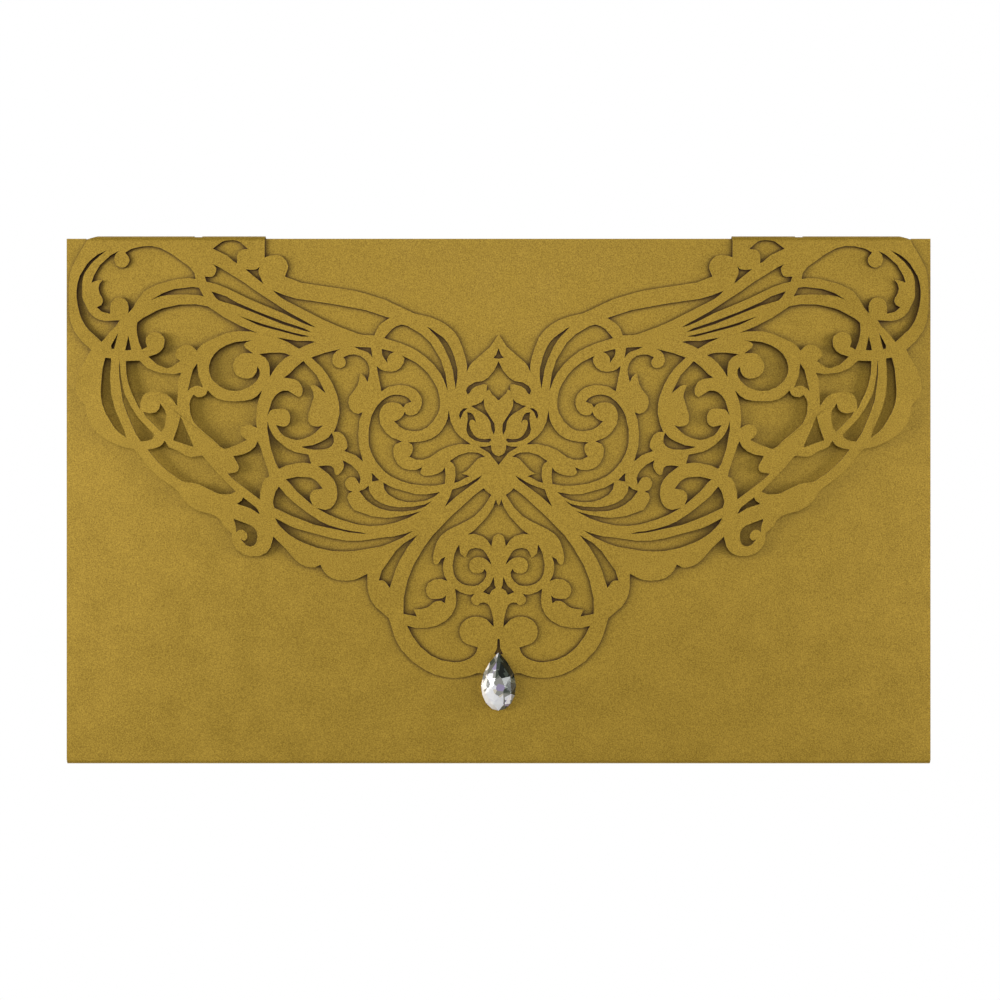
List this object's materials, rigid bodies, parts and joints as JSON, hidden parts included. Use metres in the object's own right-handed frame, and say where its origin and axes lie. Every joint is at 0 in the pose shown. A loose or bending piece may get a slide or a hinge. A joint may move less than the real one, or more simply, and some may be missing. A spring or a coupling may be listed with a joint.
{
  "type": "die-cut invitation",
  "caption": "Flat rectangular pocket invitation of gold card, with a cut scrollwork flap folded over the front and a pear-shaped faceted stone on its lowest tip.",
  "frame": {"origin": "middle of the back panel's underside: centre of the bounding box in X and Y, at its lowest Z", "axes": "+X along the width, to the viewer's right with the front up; +Y towards the rolled top folds; +Z out of the front, up from the table"},
  "size_m": [0.198, 0.121, 0.0055],
  "materials": {
    "gold_card": "pearlescent gold card, satin, with dark cut edges",
    "insert_paper": "plain uncoated card",
    "adhesive": "dried adhesive film",
    "stone_glass": "polished foil-backed glass",
    "clear_glue": "clear dried glue"
  },
  "bodies": {
    "root": {"jacket": "gold_card", "insert_card": "insert_paper", "adhesive_strip_left": "adhesive", "adhesive_strip_right": "adhesive", "rhinestone": "stone_glass", "stone_glue": "clear_glue"}
  },
  "joints": []
}
